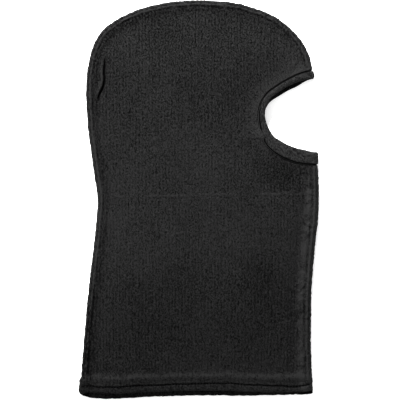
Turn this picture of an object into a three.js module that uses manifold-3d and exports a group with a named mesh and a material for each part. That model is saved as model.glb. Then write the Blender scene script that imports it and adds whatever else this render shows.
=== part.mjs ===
// A knitted balaclava, laid flat on its left side. Units are millimetres.
// +X points towards the face, +Y towards the crown and +Z up from the surface that it lies on.
// Two side panels are overlocked together along the back and crown and along the throat. A folded
// band edges the face opening, and the neck ends in a turned hem with one line of stitches.
import * as THREE from "three";
import { mergeVertices } from "three/addons/utils/BufferGeometryUtils.js";
import Module from "manifold-3d";

const wasm = await Module();
wasm.setup();

// ---- Driving dimensions ----
const hoodHeight = 400; // from the hem to the crown
const hoodDepth = 240; // from the back to the face
const fabric = 1.6; // the knitted sheet
const turned = 1.3; // the same sheet where it is turned in and pressed by stitching
const clearance = 0.3; // between two layers that lie face to face
const threadRoom = 1.1; // room between a panel and its turned allowance for the thread that lies there

const allowanceWidth = 8; // seam allowance, from the edge of the hood to its overlocked raw edge
const seamStitch = 4.6; // from the edge of the hood to the stitches of its seam
const hemDepth = 12; // height of the turned hem
const hemStitchHeight = 9.5; // height of the hem's stitch line
const hemRise = 4.5; // the hem sits this much higher at the throat than at the nape

const needleThread = 0.25; // radii of the threads
const looperThread = 0.6;
const grooveHalfWidth = 0.8; // the hem's stitches sink into the knit
const grooveDepth = 0.9;
const hemRoom = 0.5; // between the hem's raw edge and the thread along it
const seamRoom = 1; // between that thread and the start of the seams

const bandTongue = 6; // the band's raw edges reach this far under the panel
const bandDitch = 1.2; // the gap between the panel's cut edge and the band
const bandRounding = 1.2; // of the band's two folds
const bandWidth = { chin: 15.5, cheek: 6.8, brow: 9 }; // visible width of the folded band
const openingRise = 3.7; // the upper panel lifts this much over the middle of the face opening
const layerSlip = 4; // the lower layer has slipped this far down at the brow

// The side view of the hood, from the hem upwards, on a pattern drawn 240 deep and 400 high. The
// face opening starts, is deepest and ends at stations, and the back edge has a point level with each.
const v2 = (x, y) => new THREE.Vector2(x, y);
const flatVector = (p, z = 0) => new THREE.Vector3(p.x, p.y, z);
const up = new THREE.Vector3(0, 0, 1);
const pattern = (x, y) => v2((x * hoodDepth) / 240, (y * hoodHeight) / 400);
const crown = pattern(-3, 400);
const backPoints = [
  pattern(-121.5, 0), // hem
  pattern(-117, 55),
  pattern(-112.4, 108),
  pattern(-103.4, 190), // nape
  pattern(-107.3, 230), // level with the chin
  pattern(-113.8, 283), // level with the eyes
  pattern(-113.6, 328), // level with the brow
  pattern(-102, 364.6),
  pattern(-74.7, 385),
  pattern(-38, 396.7),
  crown,
];
const backStations = [0, 4, 5, 6, 10]; // the points above that are stations
const throatPoints = [
  v2(pattern(112.4, 0).x, hemRise),
  pattern(111.1, 60),
  pattern(112, 112),
  pattern(115.6, 155),
  pattern(118.7, 185),
  pattern(118.8, 215),
  pattern(118.3, 233.5),
];
const openingPoints = [
  pattern(104, 234),
  pattern(91, 237),
  pattern(75, 244.8),
  pattern(63, 258),
  pattern(57.8, 284), // deepest
  pattern(64, 303),
  pattern(80, 316),
  pattern(98, 325.5),
];
const foreheadPoints = [
  pattern(113.1, 330),
  pattern(107.5, 348.5),
  pattern(95.5, 366.5),
  pattern(71.7, 384.8),
  pattern(36, 396.7),
  crown,
];
const spineX = pattern(-12, 0).x; // the line down the middle of each panel, where it is highest

// ---- Heights above the surface ----
const foldRadius = fabric + threadRoom + turned; // outside radius of the hood's folded edge
const seamZ = foldRadius + clearance / 2; // the plane where the two panels meet
const edgeTop = 2 * seamZ; // top of the upper panel along that edge
const stationHeights = [0, 232, 284, 322].map((y) => pattern(0, y).y);
const spineStations = [...stationHeights, crown.y - foldRadius]; // along the spine
const loftPoints = [
  [0, 15], // [height on the spine, top of the upper panel there]
  [60, 19.5],
  [125, 22],
  [230, 21],
  [300, 19.5],
  [350, 16.5],
  [385, 11.5],
].map(([y, top]) => v2(pattern(0, y).y, top));
loftPoints.push(v2(spineStations.at(-1), edgeTop));

// ---- Sampling ----
const rowsPerStretch = [10, 9, 9, 13]; // throat, opening below and above its deepest point, forehead
const foldAngles = [0, 30, 60, 90].map(THREE.MathUtils.degToRad);
const acrossPanel = [0.08, 0.2, 0.4, 0.7, 1]; // shares of the way from the folded edge to the spine
const lastRow = 0.985; // the rows stop just short of the crown, where they would shrink to a point
const openingEnd = 0.015; // and the opening's rows start and stop this far from its corners
const openingDeepest = 0.5; // share of the opening's edge from the chin to where it is deepest
const threadSides = 5;

const back = new THREE.SplineCurve(backPoints);
const throat = new THREE.SplineCurve(throatPoints);
const forehead = new THREE.SplineCurve(foreheadPoints);
const loft = new THREE.SplineCurve(loftPoints);

// The place at a share of a curve's length, with the direction into the hood: to the right of a
// line that runs up the back, and to the left of one that runs up the front.
function edgeAt(curve, share, turn) {
  const tangent = curve.getTangentAt(share);
  return { at: curve.getPointAt(share), inward: v2(tangent.y * turn, -tangent.x * turn) };
}

const chinEnd = edgeAt(throat, 1, -1);
const browEnd = edgeAt(forehead, 0, -1);
const foldTop = (edge) => edge.at.clone().addScaledVector(edge.inward, seamZ);
const opening = new THREE.SplineCurve([foldTop(chinEnd), ...openingPoints, foldTop(browEnd)]);

// Top of the upper panel on the spine, at a height y above the hem.
function loftAt(y) {
  const last = loftPoints.length - 1;
  const i = Math.min(last - 1, loftPoints.findLastIndex((p) => p.x <= y));
  const share = (y - loftPoints[i].x) / (loftPoints[i + 1].x - loftPoints[i].x);
  return loft.getPoint((i + share) / last).y;
}

const shareAt = (curve, length) => length / curve.getLength();
const neckShare = (height) => shareAt(throat, height);
const hemFold = (fabric + clearance + turned) / 2; // radius of the fold at the hem's bottom edge
const seamStart = hemDepth + hemRoom + 2 * looperThread + seamRoom;

const lengthSteps = 20;
const backLengths = back.getLengths(lengthSteps * (backPoints.length - 1));
const stationShares = backStations.map((i) => backLengths[i * lengthSteps] / backLengths.at(-1));

// How far the lower layer's opening has slipped down.
function slipAt(t, side) {
  if (side > 0) return 0;
  const { smoothstep } = THREE.MathUtils;
  return layerSlip * smoothstep(t, 0.5, 0.8) * (1 - smoothstep(t, 0.88, 1));
}

function openingEdge(t, side) {
  const edge = edgeAt(opening, t, 1);
  edge.at.y -= slipAt(t, side);
  return edge;
}

// One row of the hood, from the back edge through the spine to the front edge.
function rowAt(stretch, share, side) {
  const backShare = THREE.MathUtils.lerp(stationShares[stretch], stationShares[stretch + 1], share);
  const row = { back: edgeAt(back, backShare, 1), folded: stretch === 0 || stretch === 3 };
  const eased = stretch === 3 ? 1 - (1 - share) ** 1.6 : share;
  const y = THREE.MathUtils.lerp(spineStations[stretch], spineStations[stretch + 1], eased);
  row.spine = v2(stretch === 3 ? THREE.MathUtils.lerp(spineX, crown.x, eased) : spineX, y);
  if (stretch === 0) {
    row.front = edgeAt(throat, share, -1);
    row.spine.y += (hemRise / 2) * (1 - share);
  } else if (stretch === 3) {
    row.front = edgeAt(forehead, share, -1);
  } else {
    const below = THREE.MathUtils.lerp(openingEnd, openingDeepest, share);
    const above = THREE.MathUtils.lerp(openingDeepest, 1 - openingEnd, share);
    const t = stretch === 1 ? below : above;
    const { at } = openingEdge(t, side);
    row.front = { at, inward: row.spine.clone().sub(at).normalize(), t };
  }
  row.loft = Math.max(edgeTop, loftAt(row.spine.y));
  return row;
}

// Every row, from the hem to the crown. The stretches beside the opening include both their ends.
function allRows(side) {
  const rows = [];
  rowsPerStretch.forEach((count, stretch) => {
    for (let i = 0; i < count; i++) {
      const even = stretch === 1 ? i / count : i / (count - 1);
      rows.push(rowAt(stretch, stretch === 3 ? lastRow * (1 - (1 - even) ** 1.5) : even, side));
    }
  });
  return rows;
}

const openingTop = (t) => edgeTop + openingRise * Math.sin(Math.PI * t);

// The points of one row of a panel: its outside and its inside, both from back to front. side is 1
// for the upper panel and -1 for the lower.
function rowPoints(row, side) {
  const half = (edge, folded) => {
    const outside = [];
    const inside = [];
    const edgeHeight = folded ? edgeTop : openingTop(edge.t);
    const height = (rise) => (side > 0 ? edgeHeight + (row.loft - edgeHeight) * rise : 0);
    const lift = (radius, angle) => seamZ + side * (clearance / 2 + radius * Math.sin(angle));
    const inFrom = (along) => edge.at.clone().addScaledVector(edge.inward, along);
    for (const angle of foldAngles) {
      const along = foldRadius * (1 - Math.cos(angle));
      const alongInside = along + (folded ? fabric * Math.cos(angle) : 0);
      const outsideZ = folded ? lift(foldRadius, angle) : height(0);
      const insideZ = folded ? lift(foldRadius - fabric, angle) : height(0) - side * fabric;
      outside.push(flatVector(inFrom(along), outsideZ));
      inside.push(flatVector(inFrom(alongInside), insideZ));
    }
    for (const share of acrossPanel) {
      const at = inFrom(foldRadius).lerp(row.spine, share);
      const z = height(1 - (1 - share) ** 2.5);
      outside.push(flatVector(at, z));
      inside.push(flatVector(at, z - side * fabric));
    }
    return { outside, inside };
  };
  const toSpine = half(row.back, true);
  const fromSpine = half(row.front, row.folded);
  return {
    outside: [...toSpine.outside, ...fromSpine.outside.reverse().slice(1)],
    inside: [...toSpine.inside, ...fromSpine.inside.reverse().slice(1)],
  };
}

// ---- Solids ----
// A closed mesh through rings of points that have the same count. Open ends are capped.
function loftMesh(rings, closed = false) {
  const count = rings[0].length;
  const positions = rings.flat().flatMap((p) => [p.x, p.y, p.z]);
  const index = [];
  const joins = closed ? rings.length : rings.length - 1;
  for (let r = 0; r < joins; r++) {
    for (let i = 0; i < count; i++) {
      const j = (i + 1) % count;
      const [a, b] = [r * count, ((r + 1) % rings.length) * count];
      index.push(a + i, a + j, b + j, a + i, b + j, b + i);
    }
  }
  if (!closed) {
    for (const [start, flip] of [
      [0, true],
      [(rings.length - 1) * count, false],
    ]) {
      for (const [a, b, c] of capTriangles(rings[start / count])) {
        index.push(start + a, start + (flip ? c : b), start + (flip ? b : c));
      }
    }
  }
  const geometry = new THREE.BufferGeometry();
  geometry.setAttribute("position", new THREE.Float32BufferAttribute(positions, 3));
  geometry.setIndex(index);
  return geometry;
}

// Triangles that fill a ring, flattened onto the plane that it lies nearest to.
function capTriangles(ring) {
  const normal = new THREE.Vector3();
  ring.forEach((p, i) => normal.add(p.clone().cross(ring[(i + 1) % ring.length])));
  normal.normalize();
  const u = ring[1].clone().sub(ring[0]).normalize();
  const w = normal.clone().cross(u);
  const flat = ring.map((p) => v2(p.dot(u), p.dot(w)));
  return THREE.ShapeUtils.triangulateShape(flat, []);
}

// A section swept along frames. A section point is [across, out], measured from the frame's place.
function sweep(frames, sectionAt, closed = false) {
  return loftMesh(
    frames.map((frame, i) =>
      sectionAt(frame, i).map(([across, out]) =>
        frame.at.clone().addScaledVector(frame.across, across).addScaledVector(frame.out, out),
      ),
    ),
    closed,
  );
}

function disc(across, out, radius) {
  return Array.from({ length: threadSides }, (_, i) => {
    const angle = (2 * Math.PI * i) / threadSides;
    return [across + radius * Math.cos(angle), out + radius * Math.sin(angle)];
  });
}

// A mesh as a solid with its faces pointing out.
function solidOf(geometry) {
  const onlyPositions = new THREE.BufferGeometry();
  onlyPositions.setAttribute("position", geometry.toNonIndexed().getAttribute("position"));
  const { attributes, index } = mergeVertices(onlyPositions, 1e-4);
  const made = (triVerts) =>
    new wasm.Manifold(
      new wasm.Mesh({ numProp: 3, vertProperties: attributes.position.array, triVerts }),
    );
  const triangles = new Uint32Array(index.array);
  const solid = made(triangles);
  return solid.volume() < 0 ? made(triangles.reverse()) : solid;
}

function geometryOf(solid) {
  const mesh = solid.getMesh();
  const geometry = new THREE.BufferGeometry();
  geometry.setAttribute("position", new THREE.Float32BufferAttribute(mesh.vertProperties, 3));
  geometry.setIndex(new THREE.BufferAttribute(mesh.triVerts, 1));
  return geometry;
}

// ---- Frames that the seams and the band follow ----
function seamFrame(edge) {
  return { at: flatVector(edge.at, seamZ), across: flatVector(edge.inward), out: up };
}

// Along the back from above the hem, over the crown and down to the brow.
function crownFrames(rows) {
  const start = edgeAt(back, shareAt(back, seamStart), 1);
  const upTheBack = rows.map((row) => row.back).filter((edge) => edge.at.y > start.at.y + 2);
  const downTheForehead = rows.slice(-rowsPerStretch[3] + 1).map((row) => row.front);
  return [start, ...upTheBack, ...downTheForehead.reverse()].map(seamFrame);
}

// Up the throat from above the hem to just under the band.
function throatFrames() {
  const steps = 10;
  const first = shareAt(throat, seamStart);
  const last = 1 - shareAt(throat, bandTongue + 2 * looperThread + 3 * clearance);
  return Array.from({ length: steps + 1 }, (_, i) =>
    seamFrame(edgeAt(throat, THREE.MathUtils.lerp(first, last, i / steps), -1)),
  );
}

// All round the cut edge of the face opening: the upper panel from chin to brow, the fold at the
// brow, the lower panel back to the chin, and the fold there.
function openingFrames() {
  const widths = new THREE.SplineCurve([
    v2(0, bandWidth.chin),
    v2(0.3, bandWidth.chin - 1),
    v2(0.5, bandWidth.cheek + 0.6),
    v2(0.65, bandWidth.cheek),
    v2(0.85, bandWidth.cheek),
    v2(1, bandWidth.brow),
  ]);
  const panelEdge = (t, side) => {
    const edge = openingEdge(t, side);
    return {
      at: flatVector(edge.at, side > 0 ? openingTop(t) : 0),
      across: flatVector(edge.inward),
      out: up.clone().multiplyScalar(side),
      width: widths.getPoint(t).y,
    };
  };
  const fold = (t, angle) => {
    const { inward } = t ? browEnd : chinEnd;
    const [cos, sin] = [Math.cos(angle), Math.sin(angle)];
    const out = new THREE.Vector3(-inward.x * cos, -inward.y * cos, sin);
    const at = flatVector(opening.getPointAt(t), seamZ).addScaledVector(out, seamZ);
    const turn = t ? 1 : -1;
    const across = new THREE.Vector3(-inward.y * turn, inward.x * turn, 0);
    return { at, across, out, width: widths.getPoint(t).y };
  };
  const shares = allRows(1).flatMap((row) => row.front.t ?? []);
  const turns = [60, 30, 0, -30, -60].map(THREE.MathUtils.degToRad);
  return [
    ...shares.map((t) => panelEdge(t, 1)),
    ...turns.map((angle) => fold(1, angle)),
    ...shares.map((t) => panelEdge(t, -1)).reverse(),
    ...turns.map((angle) => fold(0, -angle)),
  ];
}

// All round the neck at one height: over the upper panel and back under the lower one.
function neckFrames(height, inside = false) {
  const row = rowAt(0, neckShare(height), 1);
  const pick = (side) => rowPoints(row, side)[inside ? "inside" : "outside"];
  const loop = [...pick(1), ...pick(-1).reverse()];
  return loop.map((at, i) => {
    const before = loop[(i + loop.length - 1) % loop.length];
    const after = loop[(i + 1) % loop.length];
    const along = after.clone().sub(before).normalize();
    const across = new THREE.Vector3(0, 1, 0);
    return { at, across, out: across.clone().cross(along).negate().normalize() };
  });
}

// ---- The pieces ----
const seamOverlap = 0.4; // how far a seam allowance runs into the folded edge
const hemOverlap = 1.5; // how far the hem's fold runs up into the panel

// The hem's turned part, joined to the panel by the fold at the bottom.
function hemTurn(side) {
  const points = rowPoints(rowAt(0, neckShare(hemFold), side), side).outside;
  const frames = points.slice(foldAngles.length - 1, 1 - foldAngles.length).map((at) => ({
    at: at.clone().setY(at.y - hemFold),
    across: new THREE.Vector3(0, 1, 0),
    out: up.clone().multiplyScalar(side),
  }));
  const bend = [0, 45, 90, 135, 180].map(THREE.MathUtils.degToRad);
  const section = [
    [hemFold + hemOverlap, -fabric / 2],
    ...bend.map((a) => [hemFold - hemFold * Math.sin(a), hemFold * Math.cos(a) - hemFold]),
    [hemDepth, -2 * hemFold],
    [hemDepth, turned - 2 * hemFold],
    [hemFold + hemOverlap, turned - 2 * hemFold],
  ];
  return sweep(frames, () => section);
}

function sidePanel(side) {
  const rows = allRows(side);
  const raised = [rowAt(0, neckShare(hemFold), side), ...rows.slice(1)];
  const sheet = loftMesh(
    raised.map((row) => {
      const { outside, inside } = rowPoints(row, side);
      return [...outside, ...inside.reverse()];
    }),
  );
  const inner = side * (clearance / 2);
  const allowance = () => [
    [fabric - seamOverlap, inner],
    [allowanceWidth, inner],
    [allowanceWidth, inner + side * turned],
    [fabric - seamOverlap, inner + side * turned],
  ];
  const groove = () => [
    [-grooveHalfWidth, clearance],
    [grooveHalfWidth, clearance],
    [grooveHalfWidth, -grooveDepth],
    [-grooveHalfWidth, -grooveDepth],
  ];
  const solid = [crownFrames(rows), throatFrames()]
    .map((frames) => solidOf(sweep(frames, allowance)))
    .reduce((made, part) => made.add(part), solidOf(sheet).add(solidOf(hemTurn(side))))
    .subtract(solidOf(sweep(neckFrames(hemStitchHeight), groove, true)))
    .subtract(solidOf(sweep(openingFrames(), bandRoom, true)));
  const largestFirst = solid.decompose().sort((a, b) => b.volume() - a.volume());
  return geometryOf(largestFirst[0]); // without the scraps that the cuts leave
}

const underPanel = -(fabric + clearance); // the band's raw edges, measured in from the panel's outside
const underBand = underPanel - turned;

// The room that a panel leaves for the band's raw edges and the thread along them.
function bandRoom() {
  const reach = bandTongue + 2 * (clearance + looperThread);
  return [
    [-reach, underPanel + clearance / 2],
    [bandDitch, underPanel + clearance / 2],
    [bandDitch, underBand - clearance / 2],
    [-reach, underBand - clearance / 2],
  ];
}

// A strip folded along its length. Its raw edges lie under the panels, and its fold is the rim.
function faceBand(frames) {
  return sweep(
    frames,
    ({ width }) => [
      [-bandTongue, underPanel],
      [bandDitch, underPanel],
      [bandDitch, -bandRounding / 2],
      [bandDitch + bandRounding, 0],
      [width - bandRounding, 0],
      [width, underBand / 2],
      [width - bandRounding, underBand],
      [-bandTongue, underBand],
    ],
    true,
  );
}

const knit = new THREE.MeshStandardMaterial({ color: 0x26262a, roughness: 0.95 });
const ribbedKnit = new THREE.MeshStandardMaterial({ color: 0x29292d, roughness: 0.93 });
const sewingThread = new THREE.MeshStandardMaterial({ color: 0x151517, roughness: 0.7 });

function balaclava() {
  const group = new THREE.Group();
  const add = (name, geometry, material) => {
    const mesh = new THREE.Mesh(geometryOf(solidOf(geometry)), material);
    mesh.name = name;
    group.add(mesh);
  };
  const addThread = (name, frames, across, out, radius, closed) => {
    const section = disc(across, out, radius);
    add(name, sweep(frames, () => section, closed), sewingThread);
  };
  add("right_panel", sidePanel(1), knit);
  add("left_panel", sidePanel(-1), knit);

  // Overlocked seams: a needle thread through both allowances, and looper threads over their raw edge.
  const seamNeedle = clearance / 2 + turned + clearance + needleThread;
  const seamLooper = allowanceWidth + clearance + looperThread;
  for (const [seam, frames] of [
    ["crown", crownFrames(allRows(1))],
    ["throat", throatFrames()],
  ]) {
    addThread(seam + "_needle_thread", frames, seamStitch, seamNeedle, needleThread, false);
    addThread(seam + "_looper_thread", frames, seamLooper, 0, looperThread, false);
  }

  // The band, with its needle thread in the ditch and its looper threads over the raw edges.
  const opened = openingFrames();
  const ditchDepth = underPanel + clearance + needleThread;
  const bandLooper = -(bandTongue + clearance + looperThread);
  add("face_band", faceBand(opened), ribbedKnit);
  addThread("band_needle_thread", opened, bandDitch / 2, ditchDepth, needleThread, true);
  addThread("band_looper_thread", opened, bandLooper, (underPanel + underBand) / 2, looperThread, true);

  // The hem's stitches: needle thread outside, and looper threads inside over its raw edge.
  const onHem = neckFrames(hemStitchHeight);
  const overHem = neckFrames(hemDepth + hemRoom + looperThread, true);
  addThread("hem_needle_thread", onHem, 0, -grooveDepth / 2, needleThread, true);
  addThread("hem_looper_thread", overHem, 0, -clearance - looperThread, looperThread, true);

  const middle = new THREE.Box3().setFromObject(group).getCenter(new THREE.Vector3());
  group.position.set(-middle.x, -middle.y, 0);
  return group;
}

export default balaclava();
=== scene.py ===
import math

import bpy
import numpy as np
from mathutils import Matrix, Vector, kdtree, noise
from mathutils.geometry import delaunay_2d_cdt


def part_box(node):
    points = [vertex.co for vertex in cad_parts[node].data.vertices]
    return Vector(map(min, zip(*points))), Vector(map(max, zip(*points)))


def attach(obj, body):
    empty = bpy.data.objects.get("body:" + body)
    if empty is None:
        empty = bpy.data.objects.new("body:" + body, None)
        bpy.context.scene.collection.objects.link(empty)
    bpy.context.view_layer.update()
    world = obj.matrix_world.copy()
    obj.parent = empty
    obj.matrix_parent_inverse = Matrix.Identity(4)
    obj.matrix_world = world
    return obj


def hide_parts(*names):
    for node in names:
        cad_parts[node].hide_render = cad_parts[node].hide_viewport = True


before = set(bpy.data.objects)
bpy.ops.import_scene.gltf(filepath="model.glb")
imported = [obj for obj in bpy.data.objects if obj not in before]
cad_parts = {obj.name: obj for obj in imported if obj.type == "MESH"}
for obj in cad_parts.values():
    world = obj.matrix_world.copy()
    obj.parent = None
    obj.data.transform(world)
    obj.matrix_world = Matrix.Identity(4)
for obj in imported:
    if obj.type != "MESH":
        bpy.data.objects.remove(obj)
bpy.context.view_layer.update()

mm = 0.001

# the hood's pattern, side view, in mm: x towards the face, y up from the hem at the nape
hood = {
    "back": [(-121.5, 0), (-117, 55), (-112.4, 108), (-103.4, 190), (-107.3, 230), (-113.8, 283),
             (-113.6, 328), (-102, 364.6), (-74.7, 385), (-38, 396.7), (-3, 400)],
    "throat": [(112.4, 4.5), (111.1, 60), (112, 112), (115.6, 155), (118.7, 185), (118.8, 215),
               (118.3, 233.5)],
    "opening": [(104, 234), (91, 237), (75, 244.8), (63, 258), (57.8, 284), (64, 303), (80, 316),
                (98, 325.5)],
    "forehead": [(113.1, 330), (107.5, 348.5), (95.5, 366.5), (71.7, 384.8), (36, 396.7), (-3, 400)],
    "hem": [(-121.2, 6), (-117.4, 1.9), (-104, 0.3), (-88, -0.2), (-69, 0.6), (-49, 1.9), (6, 3.2),
            (50, 3), (93, 3.9), (106, 4.4), (112.2, 5.6)],
    "loft": [(0, 15), (60, 19.5), (125, 22), (230, 21), (300, 19.5), (350, 16.5), (385, 11.5),
             (396, 8.3)],       # height of the top along the hood
    "crown": 400,
    "cloth": 1.45,              # thickness of the knit
    "foldRadius": 4.0,          # of the edge that the seam runs along
    "seamZ": 4.15,              # the plane where the two panels meet
    "seamGap": 0.15,            # from that plane to each panel
    "allowance": 8.0,           # of the seams, turned in
    "hemRadius": 1.6,           # of the fold at the hem
    "stitchHeight": 6.6,        # of the stitched line above the hem's edge
    "openingRise": 3.7,         # the upper panel's edge bows up this much over the face opening
    "layerSlip": 4.0,           # the lower layer lies this much lower at the brow
    "tab": 3.0,                 # how far the upper panel laps over the band beside the cheek
    "hemFlare": (1.7, 0.9),     # how far the hem stands out at the back and at the throat
    "hemLift": 4.6,             # the upper layer's hem lies this much higher
    "hemDrop": 1.5,             # and the lower layer's this much lower
    "ragged": 0.5,              # unevenness of the edges
}


def hexColour(code):
    # an sRGB hex code as linear red, green, blue and alpha
    def linear(c):
        return c / 12.92 if c <= 0.04045 else ((c + 0.055) / 1.055) ** 2.4
    return tuple(linear(int(code[i:i + 2], 16) / 255) for i in (1, 3, 5)) + (1.0,)


def smooth(v, low, high):
    t = np.clip((v - low) / (high - low), 0, 1)
    return t * t * (3 - 2 * t)


def spline(points, steps):
    # an even walk along a smooth curve through the points
    p = np.array(points, float)
    ends = np.vstack([p[0], p, p[-1]])
    walk = []
    for a, b, c, d in zip(ends, ends[1:], ends[2:], ends[3:]):
        for t in np.linspace(0, 1, 40, endpoint=False):
            v, w = (c - a) / 2, (d - b) / 2
            cubic, square = 2 * b - 2 * c + v + w, -3 * b + 3 * c - 2 * v - w
            walk.append(cubic * t ** 3 + square * t ** 2 + v * t + b)
    walk = np.vstack([walk, p[-1]])
    lengths = np.concatenate([[0], np.cumsum(np.linalg.norm(np.diff(walk, axis=0), axis=1))])
    at = np.linspace(0, lengths[-1], steps)
    return np.column_stack([np.interp(at, lengths, walk[:, k]) for k in range(walk.shape[1])])


def sidewaysOf(walk):
    # unit directions to the left of each step of a walk
    along = np.gradient(walk, axis=0)
    along /= np.linalg.norm(along, axis=1)[:, None]
    return np.column_stack([-along[:, 1], along[:, 0]])


def grain(x, y, size, seed):
    # smooth noise from -1 to 1, one wave to each size of mm
    return np.array([noise.noise(Vector((a / size, b / size, seed))) for a, b in zip(x, y)])


def waver(x, size, seed):
    # the same noise along one direction
    return grain(x, x * 0, size, seed)


def bell(v, place, width):
    return np.exp(-((v - place) / width) ** 2)


def ridges(v, rows):
    # several ridges and grooves side by side, each with its place, width and height
    return sum(high * bell(v, place, width) for place, width, high in rows)


def spot(x, y, place, size):
    return np.exp(-((x - place[0]) / size[0]) ** 2 - ((y - place[1]) / size[1]) ** 2)


def meshPiece(name, verts, faces, material, pale=None):
    # verts in mm, in the pattern's frame
    made = bpy.data.meshes.new(name)
    made.from_pydata([tuple(v) for v in (np.asarray(verts) + patternOrigin) * mm], [], faces)
    if pale is not None:
        layer = made.attributes.new("paleness", "FLOAT", "POINT")
        layer.data.foreach_set("value", np.asarray(pale, np.float32))
    made.validate()
    made.materials.append(material)
    made.shade_smooth()
    piece = bpy.data.objects.new(name, made)
    bpy.context.scene.collection.objects.link(piece)
    return piece


def applyModifiers(piece):
    bpy.ops.object.select_all(action="DESELECT")
    piece.select_set(True)
    bpy.context.view_layer.objects.active = piece
    for modifier in list(piece.modifiers):
        bpy.ops.object.modifier_apply(modifier=modifier.name)


def thicken(piece, thickness):
    cloth = piece.modifiers.new("cloth", "SOLIDIFY")
    cloth.thickness = thickness * mm
    cloth.offset = -1
    applyModifiers(piece)
    piece.data.shade_smooth()


# where the pattern's zero lies in the frame: its back and crown meet the CAD panel's box
panelLow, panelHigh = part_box("left_panel")
backWalk = spline(hood["back"], 400)
patternOrigin = np.array([panelLow.x / mm - backWalk[:, 0].min(), panelHigh.y / mm - hood["crown"], 0])


def newMaterial(name):
    material = bpy.data.materials.new(name)
    material.use_nodes = True
    tree = material.node_tree
    tree.nodes.clear()
    return material, tree


def addNode(tree, kind, settings=None, inputs=None):
    # a node with its settings, and its inputs as numbers or as sockets to link
    made = tree.nodes.new(kind)
    for key, value in (settings or {}).items():
        setattr(made, key, value)
    for key, value in (inputs or {}).items():
        if isinstance(value, bpy.types.NodeSocket):
            tree.links.new(value, made.inputs[key])
        else:
            made.inputs[key].default_value = value
    return made


knitLook = {
    # lengths in mm; real loops are about 0.5 wide and the pile finer, so both are drawn coarser to show
    "loopLength": 1.9,
    "loopWidth": 0.9,
    "fibre": 0.85,
    "patch": 38,                # from one faint patch to the next
    "relief": 1.1,
    "pull": 7.0,                # from one sideways pull of the loops to the next
    "shift": 3.5,               # how far they are pulled
    "dark": "#000000",          # black dye, deep between the loops
    "light": "#1d1d1d",         # and on the raised pile
    "toneRange": (0.82, 1.165),  # the noise that counts as dark and as light
}


def ribKnit(name, look):
    # brushed polyester and acrylic rib knit: matt, with short streaks of loops, and its pile paler
    # or darker by the paleness attribute, which holds wear and also painted shade and painted highlights
    material, tree = newMaterial(name)
    place = addNode(tree, "ShaderNodeTexCoord").outputs["Object"]
    pull = addNode(tree, "ShaderNodeTexNoise", None, {
        "Vector": place, "Scale": 1 / (look["pull"] * mm), "Detail": 1.0}).outputs["Color"]
    pulled = addNode(tree, "ShaderNodeVectorMath", {"operation": "MULTIPLY_ADD"}, {
        0: pull, 1: (look["shift"] * mm, look["shift"] * mm, 0), 2: place}).outputs[0]
    stretch = addNode(tree, "ShaderNodeMapping", inputs={
        "Vector": pulled, "Scale": (1, look["loopWidth"] / look["loopLength"], 1)}).outputs["Vector"]
    loops = addNode(tree, "ShaderNodeTexNoise", None, {
        "Vector": stretch, "Scale": 1 / (look["loopWidth"] * mm), "Detail": 2.0,
        "Roughness": 0.55}).outputs["Fac"]
    pile = addNode(tree, "ShaderNodeTexNoise", None, {
        "Vector": place, "Scale": 1 / (look["fibre"] * mm), "Detail": 2.0,
        "Roughness": 0.6}).outputs["Fac"]
    patches = addNode(tree, "ShaderNodeTexNoise", None, {
        "Vector": place, "Scale": 1 / (look["patch"] * mm), "Detail": 1.5,
        "Roughness": 0.5}).outputs["Fac"]
    surface = addNode(tree, "ShaderNodeMath", {"operation": "MULTIPLY_ADD"}, {
        0: pile, 1: 0.8, 2: loops}).outputs[0]
    mottled = addNode(tree, "ShaderNodeMath", {"operation": "MULTIPLY_ADD"}, {
        0: patches, 1: 0.12, 2: surface}).outputs[0]
    # the paleness attribute: wear, together with painted shade and painted highlights
    paleAmount = addNode(tree, "ShaderNodeAttribute", {"attribute_name": "paleness"}).outputs["Fac"]
    tone = addNode(tree, "ShaderNodeMath", {"operation": "ADD"}, {0: mottled, 1: paleAmount}).outputs[0]
    shade = addNode(tree, "ShaderNodeMapRange", None, {
        "Value": tone, "From Min": look["toneRange"][0],
        "From Max": look["toneRange"][1]}).outputs["Result"]
    colour = addNode(tree, "ShaderNodeMix", {"data_type": "RGBA"}, {
        0: shade, 6: hexColour(look["dark"]), 7: hexColour(look["light"])}).outputs[2]
    bump = addNode(tree, "ShaderNodeBump", None, {
        "Strength": 1.0, "Distance": look["relief"] * mm, "Height": surface}).outputs["Normal"]
    cloth = addNode(tree, "ShaderNodeBsdfPrincipled", None, {
        "Base Color": colour, "Normal": bump, "Roughness": 0.92, "Specular IOR Level": 0.03,
        "Sheen Weight": 0.008, "Sheen Roughness": 0.6, "Sheen Tint": hexColour("#8c8c90")})
    addNode(tree, "ShaderNodeOutputMaterial", None, {"Surface": cloth.outputs[0]})
    return material


threadLook = {"twist": 0.35, "relief": 0.1, "dark": "#020202", "light": "#0b0b0b"}  # mm, and colours


def spunThread(name, look):
    # black spun polyester thread: satin, with the twist of its plies
    material, tree = newMaterial(name)
    place = addNode(tree, "ShaderNodeTexCoord").outputs["Object"]
    twist = addNode(tree, "ShaderNodeTexNoise", None, {
        "Vector": place, "Scale": 1 / (look["twist"] * mm), "Detail": 1.0}).outputs["Fac"]
    colour = addNode(tree, "ShaderNodeMix", {"data_type": "RGBA"}, {
        0: twist, 6: hexColour(look["dark"]), 7: hexColour(look["light"])}).outputs[2]
    bump = addNode(tree, "ShaderNodeBump", None, {
        "Strength": 0.5, "Distance": look["relief"] * mm, "Height": twist}).outputs["Normal"]
    thread = addNode(tree, "ShaderNodeBsdfPrincipled", None, {
        "Base Color": colour, "Normal": bump, "Roughness": 0.65, "Specular IOR Level": 0.35})
    addNode(tree, "ShaderNodeOutputMaterial", None, {"Surface": thread.outputs[0]})
    return material


panelKnit = ribKnit("brushedRibKnit", knitLook)
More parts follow.
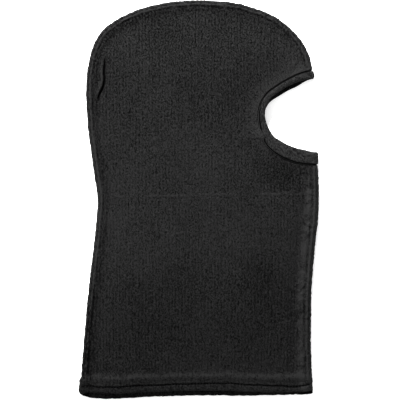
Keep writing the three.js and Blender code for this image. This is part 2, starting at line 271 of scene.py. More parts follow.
# the band's cloth is a little paler
bandKnit = ribKnit("foldedRibKnit", {
    **knitLook, "loopLength": 2.2, "dark": "#020202", "light": "#242424"})
blackThread = spunThread("spunBlackThread", threadLook)
print("materials ready")

edgeTop = 2 * hood["seamZ"]     # height of the folded edge
ringSteps = {  # mm in from the outline, where rows of points follow it
    "fold": [0.14, 0.54, 1.17, 1.7, 2.3, 2.9, 3.5, 4.2, 5.0, 5.8, 6.6, 7.6, 8.8, 10.2, 11.6],
    "opening": [0.2, 0.5, 1.0, 1.8, 2.8, 4, 5.5, 7.2, 9, 11],
    "hem": [0.12, 0.47, 1.0, 1.8, 2.8, 4.2, 5.0, 5.6, 6.1, 6.6, 7.1, 7.6, 8.2, 9.4, 11, 12.4, 14,
            16],
}
spacing = {  # mm between points, and how far the field keeps from what is already there
    "edge": 1.8,
    "up": 3.2,
    "across": 0.825,
    "lowerPanel": 3.0,          # across, on the lower panel
    "sparseRing": 7,            # further in than this, every second point of a fold's ring is left out
    "ringRoom": 0.92,           # share of its distance that a ring keeps from the rest of the outline
    "margin": 3.2,
    "lowerMargin": 12,
    "pinchRows": (-2.6, -1.7, -1.0, -0.5, 0, 0.5, 1.0, 1.7, 2.6),  # beside the pinched fold
    "pinchMargin": 4,
    "crease": (198, 208),       # the rows are closer between these heights
    "creaseUp": 0.85,
    "creaseAcross": 1.5,        # times the spacing across
    "front": (82, 118),         # and the points are closer down the front of the neck
    "frontHeights": (18.7, 200),  # above the hem, and above the pattern's zero
    "frontAcross": 1.0,
}
openingSteps = 120


def tabAt(share):
    # where the upper panel's edge laps over the band, low on the cheek
    return smooth(share, 0.345, 0.4) * (1 - smooth(share, 0.405, 0.48))


def openingWalk(side):
    # the panel's cut edge from chin to brow, with each place's share of the way
    throat, forehead = spline(hood["throat"], 200), spline(hood["forehead"], 200)
    chin = throat[-1] + sidewaysOf(throat)[-1] * hood["seamZ"]
    brow = forehead[0] + sidewaysOf(forehead)[0] * hood["seamZ"]
    walk = spline([tuple(chin), *hood["opening"], tuple(brow)], openingSteps)
    share = np.linspace(0, 1, openingSteps)
    if side < 0:
        walk[:, 1] -= hood["layerSlip"] * smooth(share, 0.5, 0.8) * (1 - smooth(share, 0.88, 1))
    return walk, share


def outlineOf(side):
    # the panel's outline, anticlockwise from the back of the hem, and what each stretch is
    hem = spline(hood["hem"], int(234 / spacing["edge"]))
    if side < 0:
        hem[:, 1] -= hood["hemDrop"] * smooth(hem[:, 0], -118, -105)
    else:
        fading = 1 - 0.55 * smooth(hem[:, 0], 20, 90)
        hem[:, 1] += hood["hemLift"] * smooth(hem[:, 0], -121, -110) * fading
    hemCorner = 7
    throat = [p for p in spline(hood["throat"], int(229 / spacing["edge"])) if p[1] > hemCorner]
    forehead = spline(hood["forehead"], int(146 / spacing["edge"]))
    back = [p for p in spline(hood["back"], int(448 / spacing["edge"])) if p[1] > hemCorner]
    opening, share = openingWalk(side)
    if side > 0:
        opening = opening - sidewaysOf(opening) * (hood["tab"] * tabAt(share))[:, None]
    kinds = ["hem"] * len(hem) + ["fold"] * len(throat) + ["opening"] * openingSteps
    kinds += ["fold"] * (len(forehead) + len(back) - 1)
    walk = np.vstack([hem, throat, opening, forehead, back[::-1][1:]])
    flare = np.where(walk[:, 0] < 0, -hood["hemFlare"][0], hood["hemFlare"][1])
    walk[:, 0] += flare * (1 - smooth(walk[:, 1], 17, 21)) * smooth(abs(walk[:, 0]), 90, 106)
    return walk, np.array(kinds)


def stitchRise(x):
    # height of the hem's stitched line above the edge, which wanders a little
    dips = 0.8 * bell(x, -102, 14) + 1.3 * bell(x, 94, 12)
    return hood["stitchHeight"] - dips + 0.6 * bell(x, 22, 28) + 0.3 * waver(x, 13, 6.1)


def creaseHeight(x, y):
    # distance above the faint crease left across the hood by folding it in two
    return y - 203.5 - 1.2 * np.sin(x / 40) - 0.5 * waver(x, 15, 1.1)


def creaseShown(x, fold, amount):
    # the crease comes and goes along its length
    return smooth(fold, 10, 30) * np.clip(amount + waver(x, 37, 5.5), 0, 1)


def frontOf(x, y):
    # 1 along the front of the neck, 0 elsewhere
    return smooth(x, 20, 80) * smooth(-y, -235, -200)


def ragged(walk, kinds, side):
    # the loops of the knit make the folded edges a little uneven
    inward = sidewaysOf(np.vstack([walk[-1], walk, walk[0]]))[1:-1]
    amount = np.where(kinds == "opening", 0, hood["ragged"])
    x, y = walk[:, 0], walk[:, 1]
    rough = grain(x, y, 2.7, 3.7 * side) + 0.8 * grain(x, y, 9, side)
    return walk + inward * (amount * rough)[:, None], inward


relief = {
    # a pinched fold near the back of the head
    "pinch": [(-95.3, 340.5), (-96.6, 328), (-96.2, 318.5), (-98.2, 311), (-101.6, 304), (-102.3, 298.5)],
    "pinchDepth": 4.2,
    "pinchWidth": 0.95,
    "pinchRidge": 1.1,
    # slow waves of the slack cloth: length, seed and height
    "slack": [(70, 5.1, 0.5), (22, 8.3, 0.22)],
    # beside the seams: mm in from the edge, width, height and whether the stitches make it uneven
    "seam": [(2.3, 0.6, -0.3, True), (4.0, 0.9, 0.4, False), (6.0, 0.9, -0.65, True),
             (8.6, 1.6, 0.45, False), (11.2, 1.6, -0.25, True)],
    # the same for puckers across the seams, with more down the front of the neck
    "puckers": [(8, 4, 0.22)],
    "frontPuckers": [(11, 6, 0.3)],
    "frontSwell": [(10, 3, 0.7)],
    "puckerPitch": 9.5,
    # the hem: its stitched line, the groove above it, the turned-in raw edge that shows through,
    # and puckers
    "stitched": (0.7, -1.7),
    "hem": [(9.9, 0.8, -0.4), (14.5, 3.0, 1.1)],
    "hemPuckers": [(13, 4.5, 0.3)],
    "hemPuckerPitch": 5.2,
    # the crease left by folding: mm above it, width and height
    "crease": [(0, 0.9, 0.5), (-2.2, 1.1, -0.12)],
    # marks left by handling: place, direction in degrees, half length and height
    "handling": [(23.7, 166, 35, 8, 1.1), (16, 171, 110, 7, 0.8), (-26.8, 86, 15, 9, 1.0),
                 (-5.5, 254, 60, 8, 0.8), (62, 128, -32, 26, 0.5), (-70, 120, 70, 18, 0.4),
                 (96, 108, -25, 12, 0.7), (92, 86, 20, 12, 0.6), (-60, 300, 40, 22, 0.35),
                 (30, 300, -40, 26, 0.35), (94, 335, 60, 12, 0.5)],
    "ribPitch": 3.3,
    "ribHeight": 0.62,
}

wearAndPaintedLight = {
    # how much paler or darker the pile is: mm from an edge, width and amount
    # painted highlight: paler beside the face opening, where the cloth rolls up to the band
    "opening": [(0, 9, 0.15)],
    "cutEdge": -0.12,
    "seamEdge": [(0.4, 1.0, 0.1)],
    "flecks": [(3.4, 2.4, 0.1)],
    "dots": [(2.3, 0.7, -0.15), (6.0, 0.9, -0.14)],
    "betweenDots": [(4.0, 0.8, 0.13)],
    "besideSeam": [(9.0, 2.5, -0.05)],
    "fan": [(10, 4.5, 0.17)],   # pulls along the front of the neck
    "hem": [(14, 4.5, 0.11)],
    "hemPulls": (16.5, 0.8, 0.17),
    # painted shadow: the lower layer's hem is darker, where the upper layer shades it
    "lowerHem": [(0, 5, -0.3)],
    "stitched": (0.6, -0.3),
    "crease": [(0, 0.8, 0.14)],
    # broad places: centre, size and amount; the darker place below the chin, at (80, 221), is painted shade
    "places": [((92, 338), (20, 20), 0.09), ((80, 221), (32, 21), -0.12), ((62, 128), (20, 30), -0.06)],
    # painted light and shade on the ribs: paler on their crests, darker in their grooves
    "ribs": 0.13,
    # painted shade deep in the pinched fold, and a painted highlight on its ridge
    "pinch": -0.6,
    "pinchRidge": 0.22,
}


turnings = {
    # the seam allowances: mm in from the edge, and how far they have parted from the seam
    "seam": [(0.12, 0.175), (0.5, 0), (2, 0), (4, 0), (6, 0), (hood["allowance"], 0)],
    # the hem: degrees round its fold, then mm up inside
    "hem": [(30, 0), (60, 0), (90, 0), (90, 2), (90, 4), (90, 6.2), (90, 8.4), (90, 10.4)],
    "seamStart": 15,            # height where the allowances start
    "hemSpan": (-114, 105),
    "bandGap": 9,               # near the band's ends the allowances are cut away
}


class Panel:
    def __init__(self, side):
        self.side = side
        walk, self.kinds = outlineOf(side)
        self.walk, self.inward = ragged(walk, self.kinds, side)
        self.trees = {kind: self.treeOf(kind) for kind in ("fold", "opening", "hem")}
        self.share = openingWalk(side)[1]
        self.pinchWalk = spline(relief["pinch"], 40)

    def treeOf(self, kind):
        # a finer walk along the stretches of one kind, so that distances are true
        chosen = np.flatnonzero(self.kinds == kind)
        points = []
        for i in chosen:
            j = (i + 1) % len(self.walk)
            last = self.kinds[j] != kind
            for t in ([0] if last else np.linspace(0, 1, 6, endpoint=False)):
                points.append((*(self.walk[i] * (1 - t) + self.walk[j] * t), i))
        tree = kdtree.KDTree(len(points))
        for n, (x, y, _) in enumerate(points):
            tree.insert((x, y, 0), n)
        tree.balance()
        return tree, points

    def distance(self, kind, x, y):
        # how far each place is from one kind of edge, and the step of the outline nearest to it
        tree, points = self.trees[kind]
        found = [tree.find((a, b, 0)) for a, b in zip(x, y)]
        return np.array([f[2] for f in found]), np.array([points[f[1]][2] for f in found])

    def shareAt(self, steps):
        first = np.flatnonzero(self.kinds == "opening")[0]
        return self.share[np.clip(steps - first, 0, openingSteps - 1)]

    def height(self, x, y):
        # the outside of the panel, in mm above the surface that it lies on
        fold, foldAt = self.distance("fold", x, y)
        opening, openingAt = self.distance("opening", x, y)
        hem, _ = self.distance("hem", x, y)
        radius = hood["foldRadius"]
        turn = radius * np.sqrt(np.clip(1 - (1 - np.clip(fold / radius, 0, 1)) ** 2, 0, 1))
        bend = hood["hemRadius"]
        roll = bend * (1 - np.sqrt(np.clip(1 - (1 - np.clip(hem / bend, 0, 1)) ** 2, 0, 1)))
        lip = 0.7 * (1 - np.clip(opening / 0.8, 0, 1)) ** 2
        if self.side < 0:
            low = hood["seamZ"] - hood["seamGap"] - turn
            return low + roll * smooth(fold, 0, 5) + lip * smooth(fold, 0, 5)
        edge = hood["seamZ"] + hood["seamGap"] + turn
        lofts = spline(hood["loft"], 200)
        loft = np.interp(y, lofts[:, 0], lofts[:, 1])
        s = np.clip((fold - 8) / 92, 0, 1)
        rise = (1 - (1 - s) ** 2.2) * smooth(fold, 7, 26)
        general = edge + np.maximum(loft - edgeTop, 0) * rise
        lipShare = self.shareAt(openingAt)
        lipTop = edge + hood["openingRise"] * np.sin(np.pi * lipShare)
        lipTop += 0.6 * tabAt(lipShare) * (1 - smooth(opening, 1, 14))
        lipTop -= 0.7 * (1 - smooth(lipShare, 0.34, 0.4)) * smooth(lipShare, 0.02, 0.12)
        z = lipTop + (general - lipTop) * smooth(opening, 0, 48)
        z += self.marks(x, y, fold, opening, hem, foldAt)
        return z - (roll + lip) * smooth(fold, 0, 5)

    def marks(self, x, y, fold, opening, hem, foldAt):
        # what the seams, the stitches and handling have pressed into the cloth
        calm = smooth(fold, 1, 9) * smooth(opening, 0, 6)
        z = self.seamMarks(fold, hem, foldAt, frontOf(x, y)) + self.hemMarks(x, fold, hem, calm)
        for length, seed, high in relief["slack"]:
            z += high * grain(x, y, length, seed) * calm
        z += ridges(creaseHeight(x, y), relief["crease"]) * creaseShown(x, fold, 0.5)
        for px, py, angle, length, high in relief["handling"]:
            a = math.radians(angle)
            run = (x - px) * math.cos(a) + (y - py) * math.sin(a)
            bow = 0.036 * run ** 2 / max(length, 8)
            off = (y - py) * math.cos(a) - (x - px) * math.sin(a) - bow
            z += high * (bell(off, 0, 2.1) - 0.7 * bell(off, -3.6, 2.2)) * bell(run, 0, length)
        return z + self.pinch(x, y) + self.ribs(x, y, fold, opening, hem)

    def seamMarks(self, fold, hem, foldAt, front):
        # ridges and grooves along the seams, and puckers across them
        along = foldAt * spacing["edge"]
        uneven = np.clip(0.75 + 1.3 * waver(along, 14, 3.9), 0.05, 2)
        z = front * ridges(fold, relief["frontSwell"])
        for place, width, high, stitched in relief["seam"]:
            z += high * bell(fold, place, width) * (uneven if stitched else 1)
        turns = along / relief["puckerPitch"] * math.tau
        pucker = np.sin(turns + 5 * grain(along, fold * 1.5, 21, 1.3))
        pucker *= np.clip(0.45 + 1.5 * waver(along, 27, 7.7), 0, 1.6)
        z += (ridges(fold, relief["puckers"]) + front * ridges(fold, relief["frontPuckers"])) * pucker
        return z * smooth(hem, 8, 16)

    def hemMarks(self, x, fold, hem, calm):
        width, high = relief["stitched"]
        z = high * bell(hem, stitchRise(x), width) * smooth(fold, 0.5, 3)
        z += ridges(hem, relief["hem"]) * calm
        turns = x / relief["hemPuckerPitch"] * math.tau
        pucker = np.sin(turns + 4 * waver(x, 21, 2.2)) * (0.6 + 0.7 * waver(x, 26, 9.1))
        return z + ridges(hem, relief["hemPuckers"]) * pucker * smooth(fold, 3, 12)

    def ribs(self, x, y, fold, opening, hem):
        # the knit's ribs: upright, uneven and broken here and there
        phase = x / relief["ribPitch"] + 0.4 * grain(x, y / 1.6, 24, 4.4) + 0.22 * grain(x, y / 2.2, 6, 2.9)
        strength = np.clip(0.55 + 1.3 * grain(x / 3.0, y / 7.5, 1.0, 6.6), 0.0, 1.4)
        even = smooth(fold, 2.5, 6) * smooth(opening, 2, 6) * smooth(hem, 2, 5)
        return relief["ribHeight"] / 2 * np.cos(math.tau * phase) * strength * even

    def pinchGap(self, x, y):
        # the nearest step of the pinched fold, and the way to it
        gaps = self.pinchWalk - (x, y)
        nearest = int(np.argmin((gaps ** 2).sum(1)))
        return nearest, gaps[nearest]

    def pinch(self, x, y):
        # a deep narrow fold with a ridge on its left
        near = (x < -80) & (y > 285) & (y < 355)
        z = np.zeros(len(x))
        for k in np.flatnonzero(near):
            n, gap = self.pinchGap(x[k], y[k])
            away = math.hypot(*gap)
            fade = math.sin(math.pi * (n + 0.5) / len(self.pinchWalk)) ** 0.5
            z[k] -= relief["pinchDepth"] * bell(away, 0, relief["pinchWidth"]) * fade
            if gap[0] > 0:
                z[k] += relief["pinchRidge"] * bell(away, 2.4, 1.3) * fade
        return z

    def paleness(self, x, y):
        # how much paler or darker the pile is: wear, and painted shade and painted highlights beside the
        # opening, below the chin, along the ribs, in the pinched fold and on the lower layer's hem
        fold, _ = self.distance("fold", x, y)
        opening, openingAt = self.distance("opening", x, y)
        hem, _ = self.distance("hem", x, y)
        # painted highlight beside the face opening
        pale = ridges(opening, wearAndPaintedLight["opening"]) * smooth(self.shareAt(openingAt), 0.3, 0.42)
        pale += wearAndPaintedLight["cutEdge"] * (1 - smooth(opening, 0.1, 0.8))
        pale += self.seamWear(x, y, fold, hem) + self.hemWear(x, y, fold, hem)
        pale += ridges(creaseHeight(x, y), wearAndPaintedLight["crease"]) * creaseShown(x, fold, 0.6)
        for place, size, amount in wearAndPaintedLight["places"]:
            pale += amount * spot(x, y, place, size)
        pale += 0.05 * smooth(y, 95, 150) * (1 - smooth(y, 210, 330))
        pale += 0.03 * smooth(x, -60, 0) * (1 - smooth(y, 30, 60))
        if self.side < 0:
            # painted shadow on the lower layer's hem
            return pale + ridges(hem, wearAndPaintedLight["lowerHem"])
        # painted light and shade along the ribs
        pale += wearAndPaintedLight["ribs"] * self.ribs(x, y, fold, opening, hem) / relief["ribHeight"]
        # painted shade in the pinched fold and painted highlight on its ridge
        pinch = self.pinch(x, y)
        pale += wearAndPaintedLight["pinch"] * np.clip(-pinch / relief["pinchDepth"], 0, 1)
        return pale + wearAndPaintedLight["pinchRidge"] * np.clip(pinch / relief["pinchRidge"], 0, 1)

    def seamWear(self, x, y, fold, hem):
        # dots beside the seams where the stitches pull, strongest low at the back and at the crown
        seam = smooth(hem, 8, 16)
        crown = smooth(y, 300, 340)
        dots = np.clip(1 + 2.2 * grain(x / 1.4, y / 3, 1.0, 3.3), 0, 2.6) * seam
        dots *= 0.45 + 1.3 * (1 - smooth(y, 70, 130)) * (x < 0) + 0.45 * crown
        flecks = np.clip(3 * grain(x / 1.2, y / 1.9, 1.0, 7.2), -0.6, 1.6) * seam
        flecks *= 0.5 + 0.8 * (1 - smooth(y, 90, 220)) * (x < 0) + 0.4 * crown
        fan = np.clip(1 + 2 * grain((y + 0.8 * fold) / 3.2, (fold - 0.3 * y) / 12, 1.0, 2.7), 0, 2.2)
        pale = ridges(fold, wearAndPaintedLight["seamEdge"]) + ridges(fold, wearAndPaintedLight["flecks"]) * flecks
        pale += ridges(fold, wearAndPaintedLight["dots"]) * dots
        pale += ridges(fold, wearAndPaintedLight["betweenDots"]) * (2.2 - dots) * seam
        pale += ridges(fold, wearAndPaintedLight["besideSeam"]) * (x < 20)
        return pale + ridges(fold, wearAndPaintedLight["fan"]) * frontOf(x, y) * fan

    def hemWear(self, x, y, fold, hem):
        # the hem's stitched line, and short pulls above it
        width, amount = wearAndPaintedLight["stitched"]
        pale = amount * bell(hem, stitchRise(x), width) * smooth(fold, 1, 5)
        paleAmount = np.clip(1 + 2.6 * grain(x / 1.3, y / 3.5, 1.0, 8.1), 0, 3)
        pale += ridges(hem, wearAndPaintedLight["hem"]) * paleAmount
        place, width, amount = wearAndPaintedLight["hemPulls"]
        tugged = np.clip(0.7 + 3 * waver(x, 1.9, 4.4), 0, 2.4) * smooth(fold, 8, 20)
        return pale + amount * bell(hem, place + waver(x, 19, 4.1), width) * tugged

    def outlineTree(self):
        # places along the whole outline, four to each step
        tree = kdtree.KDTree(len(self.walk) * 4)
        n = 0
        for a, b in zip(self.walk, np.roll(self.walk, -1, axis=0)):
            for t in np.linspace(0, 1, 4, endpoint=False):
                tree.insert((*(a * (1 - t) + b * t), 0), n)
                n += 1
        tree.balance()
        return tree

    def rings(self, whole):
        # points that follow the outline closely
        points = []
        for i, kind in enumerate(self.kinds):
            for d in ringSteps[kind]:
                if d > spacing["sparseRing"] and i % 2 and kind == "fold":
                    continue
                p = self.walk[i] + self.inward[i] * d
                if whole.find((*p, 0))[2] > spacing["ringRoom"] * d:
                    points.append(tuple(p))
        return points

    def fieldRows(self):
        # the height of each row, and the places along it
        low, high = self.walk.min(0), self.walk.max(0)
        step = spacing["across"] if self.side > 0 else spacing["lowerPanel"]
        places = np.arange(low[0], high[0], step)
        rows = [(y, places) for y in np.arange(low[1], high[1], spacing["up"])]
        if self.side > 0:
            bottom, top = spacing["crease"]
            rows = [row for row in rows if not bottom < row[0] < top]
            places = np.arange(low[0], high[0], step * spacing["creaseAcross"])
            rows += [(y, places) for y in np.arange(bottom + 0.5, top, spacing["creaseUp"])]
            above, top = spacing["frontHeights"]
            places = np.arange(*spacing["front"], spacing["frontAcross"])
            rows += [(y, places) for y in np.arange(low[1] + above, top, spacing["up"])]
        return rows

    def planPoints(self):
        # the outline, its rings, rows beside the pinched fold, and an even field inside
        whole = self.outlineTree()
        points = [tuple(p) for p in self.walk] + self.rings(whole)
        if self.side > 0:
            sideways = sidewaysOf(self.pinchWalk)
            for offset in spacing["pinchRows"]:
                points += [tuple(p) for p in self.pinchWalk + sideways * offset]
        margin = spacing["margin"] if self.side > 0 else spacing["lowerMargin"]
        for y, places in self.fieldRows():
            for x in places:
                if whole.find((x, y, 0))[2] < margin:
                    continue
                if self.side < 0 or math.hypot(*self.pinchGap(x, y)[1]) > spacing["pinchMargin"]:
                    points.append((x, y))
        return points

    def mesh(self):
        # its points, faces and paleness
        count = len(self.walk)
        loop = [(i, (i + 1) % count) for i in range(count)]
        places = [Vector(p) for p in self.planPoints()]
        points, _, faces, *_ = delaunay_2d_cdt(places, loop, [], 1, 1e-5)
        plan = np.array([(p.x, p.y) for p in points])
        verts = np.column_stack([plan, self.height(plan[:, 0], plan[:, 1])])
        faces = [tuple(f) for f in faces]
        verts, faces = self.turnIn(verts, faces)
        pale = np.zeros(len(verts))
        pale[:len(plan)] = self.paleness(plan[:, 0], plan[:, 1])
        if self.side < 0:
            faces = [f[::-1] for f in faces]
        return verts, faces, pale

    def turnIn(self, verts, faces):
        # the seam allowances lie flat inside the folded edges, and the hem is turned up inside
        verts = list(map(tuple, verts))
        count = len(self.walk)
        seam = hood["seamZ"] + self.side * hood["seamGap"]
        hemBack, hemFront = turnings["hemSpan"]
        strips = {}
        for i in range(count):
            x, y, z = verts[i]
            inward = self.inward[i]
            column = []
            if self.kinds[i] == "fold" and y > turnings["seamStart"] and not self.besideBand(x, y):
                for d, parted in turnings["seam"]:
                    column.append((x + inward[0] * d, y + inward[1] * d, seam + self.side * parted))
            elif self.kinds[i] == "hem" and hemBack < x < hemFront:
                radius = hood["hemRadius"]
                for angle, reach in turnings["hem"]:
                    a = math.radians(angle)
                    up = radius * (1 - math.cos(a)) + reach
                    column.append((x, y + up, z - self.side * radius * math.sin(a)))
            if column:
                strips[i] = [i] + list(range(len(verts), len(verts) + len(column)))
                verts += column
        for i in strips:
            j = (i + 1) % count
            if j in strips and len(strips[i]) == len(strips[j]):
                for a, b in zip(range(len(strips[i]) - 1), range(1, len(strips[i]))):
                    faces.append((strips[j][a], strips[i][a], strips[i][b], strips[j][b]))
        return np.array(verts), faces

    def besideBand(self, x, y):
        ends = (hood["throat"][-1], hood["forehead"][0])
        return min(math.dist((x, y), end) for end in ends) < turnings["bandGap"]


def makePanel(side, name, node):
    panel = Panel(side)
    verts, faces, pale = panel.mesh()
    piece = meshPiece(name, verts, faces, panelKnit, pale)
    thicken(piece, hood["cloth"])
    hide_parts(node)
    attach(piece, "root")
    return panel, piece


upperPanel, rightPanel = makePanel(1, "rightPanel", "right_panel")
lowerPanel, leftPanel = makePanel(-1, "leftPanel", "left_panel")
print("panels ready", len(rightPanel.data.polygons), len(leftPanel.data.polygons))

band = {
    "tongue": 6.0,              # how far the raw edges reach under the panel
    "ditch": 1.7,               # width of the groove beside the panel
    # share of the way from chin to brow, and the width there
    "widths": [(0, 13.3), (0.05, 15.6), (0.3, 14.5), (0.5, 7.4), (0.65, 6.8), (0.85, 6.8), (1, 9)],
    "under": -1.9,              # top of the raw edges, below the panel's outside
    "foldUnder": -0.8,          # the same where the band turns round the hood's edge
    "bottom": -3.3,             # its inner layer
    "rim": 1.6,                 # radius of its folded edge
    "cloth": 1.1,               # thickness
    "ditchShade": -0.5,          # painted shade: the groove beside the panel is painted darker
    "tone": 0.03,
    "shade": 0.17,              # painted shadow: the lower layer's band is painted this much darker at the brow, below the upper layer
    "shadeHeights": (258, 275),  # where the painted shadow begins and is full
    "length": 0.37,             # metres, once round the opening
    "cut": 0.034,               # metres, width of the strip before it is folded
}


def bandFrames():
    # place, direction towards the rim, direction outwards and width, all the way round
    widths = np.array(band["widths"])
    frames = []
    lips = {}
    for side in (1, -1):
        walk, share = openingWalk(side)
        across = -sidewaysOf(walk)
        top = edgeTop + hood["openingRise"] * np.sin(np.pi * share) if side > 0 else share * 0
        width = np.interp(share, widths[:, 0], widths[:, 1])
        width = np.convolve(np.pad(width, 6, mode="edge"), np.ones(13) / 13, "valid")
        # the groove beside the panel is widest halfway round
        room = band["ditch"] + 0.7 * smooth(share, 0.3, 0.42) * (1 - smooth(share, 0.5, 0.62))
        room -= 0.5 * smooth(share, 0.55, 0.68)
        lips[side] = [(np.array([*p, z]), np.array([*a, 0]), np.array([0, 0, side]), w, r)
                      for p, z, a, w, r in zip(walk, top, across, width, room)]

    def fold(end, turns):
        place, across, _, width, room = lips[1][end]
        outward = np.array([across[1], -across[0], 0]) * (1 if end == 0 else -1)
        centre = np.array([place[0], place[1], hood["seamZ"]])
        made = []
        width = -width  # marks the frames of a fold
        for degrees in turns:
            a = math.radians(degrees)
            out = outward * math.cos(a) + np.array([0, 0, math.sin(a)])
            made.append((centre + out * hood["seamZ"], across, out, width, room))
        return made

    frames += lips[1][1:-1]
    frames += fold(-1, range(90, -91, -15))
    frames += lips[-1][1:-1][::-1]
    frames += fold(0, range(-90, 91, 15))
    return frames


def bandSection(width, room, step):
    # across and out, from one raw edge up round the fold and back to the other
    soft = band["bottom"] / 2
    ditch = band["under"] if width > 0 else band["foldUnder"]
    width = abs(width)
    swell = 0.25 * math.sin(step * 0.31) + 0.15 * math.sin(step * 0.83 + 1)
    points = [(-band["tongue"], band["under"]), (-2.5, band["under"]), (-0.3, band["under"]),
              (0.2, ditch), (room - 0.3, ditch), (room, ditch + 0.3), (room + 0.1, ditch * 0.2),
              (room + 0.4, 0.25)]
    flat = np.linspace(room + 1.0, width - 1.9, 6)
    puff = 0.55 + 0.3 * swell
    points += [(a, puff * math.sin(math.pi * (0.25 + 0.5 * k / 5))) for k, a in enumerate(flat)]
    for degrees in range(75, -90, -15):
        a = math.radians(degrees)
        points.append((width - band["rim"] + band["rim"] * math.cos(a), soft - soft * math.sin(a)))
    points += [(a, band["bottom"]) for a in flat[::-1]]
    points += [(band["ditch"], band["bottom"]), (-2.5, band["bottom"]), (-band["tongue"], band["bottom"])]
    return points


def makeBand():
    frames = bandFrames()
    verts, faces = [], []
    pale = []
    ditchPoints = 6
    for step, (place, across, out, width, room) in enumerate(frames):
        under = out[2] < -0.5  # on the lower layer the band never bulges below the surface
        # painted shadow on the lower layer's band at the brow
        shaded = band["shade"] * float(smooth(place[1], *band["shadeHeights"])) if under else 0
        for k, (a, o) in enumerate(bandSection(width, room, step)):
            verts.append(place + across * a + out * (min(o, 0) if under else o))
            # painted shade in the groove, and the painted shadow on the lower layer at the brow
            pale.append((band["ditchShade"] if k < ditchPoints else band["tone"]) - shaded)
    size = len(verts) // len(frames)
    for r in range(len(frames)):
        for k in range(size - 1):
            a, b = r * size + k, ((r + 1) % len(frames)) * size + k
            faces.append((a, a + 1, b + 1, b))
    piece = meshPiece("faceBand", verts, faces, bandKnit, pale)
    thicken(piece, band["cloth"])
    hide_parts("face_band")
    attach(piece, "root")
    return piece


faceBand = makeBand()
print("band ready", len(faceBand.data.polygons))

threadSize = {  # mm
    "needle": 0.26,             # radius
    "looper": 0.28,
    "stitch": 3.1,              # the hem's stitches, from one to the next
    # along one stitch, and how high its thread lies there
    "stitchAlong": (0, 0.25, 0.75, 1.15, 1.55, 2.05, 2.3),
    "stitchLift": (-0.55, -0.1, 0.12, 0.16, 0.12, -0.1, -0.55),
    "zigzag": (9.3, 13.6),      # the hem looper's turns, above the hem's edge
    "zigzagStep": 1.25,
    "zigzagSpan": (-109, 101),
    "clearance": 0.35,          # of the loopers from the cloth
    "overlock": 3.2,            # how far the overlock reaches over the allowances
    "overlockGap": 0.3,
    "sides": 6,
}


def tubes(name, paths, radius, material, node):
    # one round thread along each path
    verts, faces = [], []
    sides = threadSize["sides"]
    for path in paths:
        path = np.asarray(path, float)
        along = np.gradient(path, axis=0)
        along /= np.maximum(np.linalg.norm(along, axis=1)[:, None], 1e-9)
        start = len(verts)
        for n, (p, t) in enumerate(zip(path, along)):
            side = np.cross(t, (0.13, 0.21, 0.97))
            side /= np.linalg.norm(side)
            up = np.cross(side, t)
            r = radius * (0.55 if n in (0, len(path) - 1) else 1)
            for k in range(sides):
                a = math.tau * k / sides
                verts.append(p + side * r * math.cos(a) + up * r * math.sin(a))
        for n in range(len(path) - 1):
            for k in range(sides):
                a, b = start + n * sides + k, start + n * sides + (k + 1) % sides
                faces.append((a, a + sides, b + sides, b))
        faces.append(tuple(range(start, start + sides)))
        last = start + (len(path) - 1) * sides
        faces.append(tuple(range(last + sides - 1, last - 1, -1)))
    piece = meshPiece(name, verts, faces, material)
    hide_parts(node)
    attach(piece, "root")
    return piece


def hemLine(panel, height):
    # places at one height above the hem, or with None on its stitched line, from back to front
    edge = panel.walk[panel.kinds == "hem"]
    keep = (edge[:, 0] > -115) & (edge[:, 0] < 107.5)
    x = np.arange(-116.5, 109, 0.45)
    y = np.interp(x, edge[keep][:, 0], edge[keep][:, 1])
    y = y + (stitchRise(x) if height is None else height)
    return x, y, panel.height(x, y)


def hemStitches():
    # one short loop of thread for each stitch, its ends sunk in the cloth
    paths = []
    for panel in (upperPanel, lowerPanel):
        x, y, z = hemLine(panel, None)
        out = panel.side
        start = x[0]
        while start < x[-1] - threadSize["stitch"]:
            at = start + np.array(threadSize["stitchAlong"])
            height = np.interp(at, x, z) + out * np.array(threadSize["stitchLift"])
            if panel.side < 0:
                height = np.maximum(height, 0.3)
            paths.append(np.column_stack([at, np.interp(at, x, y), height]))
            start += threadSize["stitch"]
    return tubes("hemNeedleThread", paths, threadSize["needle"], blackThread, "hem_needle_thread")


def hemLoopers():
    # a flat zigzag that covers the hem's raw edge inside the neck
    paths = []
    for panel in (upperPanel, lowerPanel):
        x, y, _ = hemLine(panel, 0)
        inward = -panel.side
        clear = threadSize["clearance"]
        onHem = panel.height(x, y + 8) + inward * (2 * hood["hemRadius"] + clear)
        onPanel = panel.height(x, y + 14) + inward * (hood["cloth"] + clear)
        low, high = threadSize["zigzag"]
        path = []
        for n, at in enumerate(np.arange(*threadSize["zigzagSpan"], threadSize["zigzagStep"])):
            edge = np.interp(at, x, y)
            if n % 2:
                path.append((at, edge + low, np.interp(at, x, onHem)))
            else:
                path.append((at, edge + high, np.interp(at, x, onPanel)))
        paths.append(path)
    return tubes("hemLooperThread", paths, threadSize["looper"], blackThread, "hem_looper_thread")


def overlock(name, walk, node):
    # threads wrapped over the raw edges of both allowances
    inward = sidewaysOf(walk)
    path = []
    inner = hood["allowance"] - threadSize["overlock"]
    outer = hood["allowance"] + threadSize["clearance"]
    thick = hood["seamGap"] + hood["cloth"] + threadSize["overlockGap"]
    turn = [(inner, thick), (outer, thick * 0.6), (outer, -thick * 0.6), (inner, -thick)]
    for n, (p, across) in enumerate(zip(walk, inward)):
        for d, z in (turn if n % 2 else turn[::-1]):
            path.append((*(p + across * d), hood["seamZ"] + z))
    return tubes(name, [path], threadSize["looper"], blackThread, node)


hemStitches()
hemLoopers()
backSeam = np.vstack([spline(hood["forehead"], 110)[8:], spline(hood["back"], 360)[::-1][1:-13]])
throatSeam = spline(hood["throat"], 180)[9:-10]
overlock("crownLooperThread", backSeam, "crown_looper_thread")
overlock("throatLooperThread", throatSeam, "throat_looper_thread")
for node in ("crown_needle_thread", "throat_needle_thread", "band_needle_thread", "band_looper_thread"):
    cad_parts[node].data.materials.clear()
    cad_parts[node].data.materials.append(blackThread)
print("threads ready")

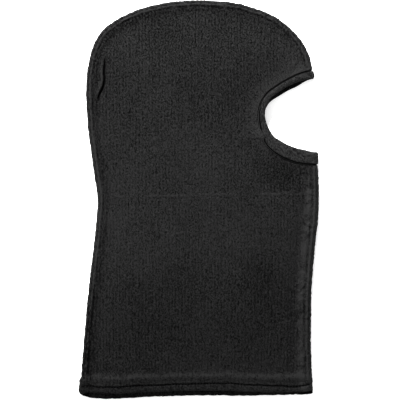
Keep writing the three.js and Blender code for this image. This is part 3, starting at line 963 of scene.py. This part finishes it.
studio = {  # metres, degrees and watts
    "cameraHeight": 1.9,
    "viewWidth": 0.4025,        # across the view, at the cloth
    "centre": (0.0011, -0.0011),
    "clothLevel": 0.006,
    "floorSize": 16,
    "floorDrop": 0.0004,        # keeps the floor clear of the cloth
    # name, place, target, cone and power
    "lamps": [("keyLight", (-1.5, 2.95, 2.0), (0, 0, 0), 40, 1900),
              ("headLight", (-0.45, 3.6, 2.05), (-0.05, 1.2, 0), 23.4, 1720)],
    "lampEdge": 0.09,
    "lampSize": 0.1,
}


def makeRoom():
    bpy.ops.object.select_all(action="DESELECT")
    bpy.ops.mesh.primitive_plane_add(size=studio["floorSize"], location=(0, 0, -studio["floorDrop"]))
    floor = bpy.context.object
    floor.name = "floor"
    # opal acrylic lit from below: keeps the ground white right up to the cloth
    material, tree = newMaterial("backlitAcrylic")
    card = addNode(tree, "ShaderNodeBsdfPrincipled", None, {
        "Base Color": hexColour("#fdfdfd"), "Roughness": 0.9, "Specular IOR Level": 0.1,
        "Emission Color": (1, 1, 1, 1), "Emission Strength": 0.3})
    addNode(tree, "ShaderNodeOutputMaterial", None, {"Surface": card.outputs[0]})
    floor.data.materials.append(material)
    world = bpy.data.worlds.new("studio")
    bpy.context.scene.world = world
    world.use_nodes = True
    sky = world.node_tree.nodes["Background"].inputs
    sky["Color"].default_value = (1, 1, 1, 1)
    sky["Strength"].default_value = 1.0


def addLight(name, place, target, cone, power):
    lamp = bpy.data.lights.new(name, "SPOT")
    lamp.spot_size = math.radians(cone)
    lamp.spot_blend = studio["lampEdge"]
    lamp.shadow_soft_size = studio["lampSize"]
    lamp.energy = power
    light = bpy.data.objects.new(name, lamp)
    light.location = place
    light.rotation_mode = "QUATERNION"
    light.rotation_quaternion = (Vector(target) - Vector(place)).to_track_quat("-Z", "Y")
    bpy.context.scene.collection.objects.link(light)


def makeCamera():
    eye = bpy.data.cameras.new("camera")
    eye.sensor_width = 36
    eye.lens = 36 * (studio["cameraHeight"] - studio["clothLevel"]) / studio["viewWidth"]
    eye.clip_start, eye.clip_end = 0.05, 50
    camera = bpy.data.objects.new("camera", eye)
    camera.location = (*studio["centre"], studio["cameraHeight"])
    bpy.context.scene.collection.objects.link(camera)
    bpy.context.scene.camera = camera


makeRoom()
for lampSettings in studio["lamps"]:
    addLight(*lampSettings)
makeCamera()
bpy.context.scene.view_settings.view_transform = "Standard"
print("room ready")
